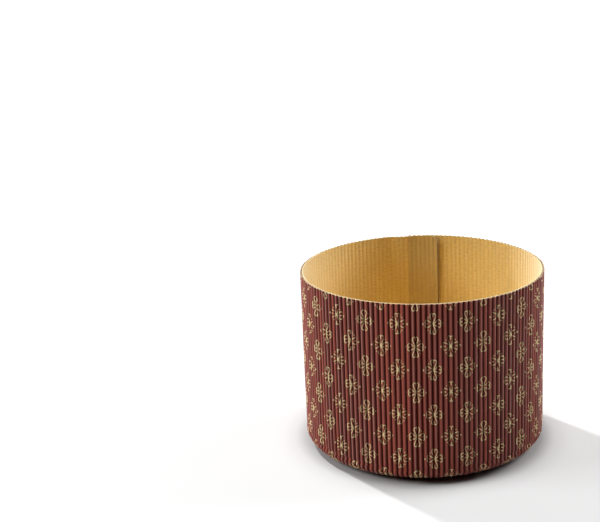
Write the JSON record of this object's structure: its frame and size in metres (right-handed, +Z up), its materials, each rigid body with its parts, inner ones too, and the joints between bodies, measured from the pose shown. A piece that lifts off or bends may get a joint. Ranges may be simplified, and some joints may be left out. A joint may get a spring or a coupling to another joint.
{
  "type": "panettone paper mold",
  "caption": "Tall round baking cup of fluted paper board, with a lapped seam, a turned-in hem and a glued round base.",
  "frame": {"origin": "centre of the underside, where the mold stands", "axes": "+Z up along the round wall's axis, -Y towards the front, with the lapped seam at the back"},
  "size_m": [0.154, 0.154, 0.1143],
  "materials": {
    "wall_print": "brown paper with gold ornament, soft satin",
    "wall_inside": "matt golden kraft paper",
    "base_flutes": "brown paper, soft satin",
    "base_inside": "matt golden kraft paper"
  },
  "bodies": {
    "root": {"wall_fluting": "wall_print", "wall_liner": "wall_inside", "base_fluting": "base_flutes", "base_liner": "base_inside"}
  },
  "joints": []
}
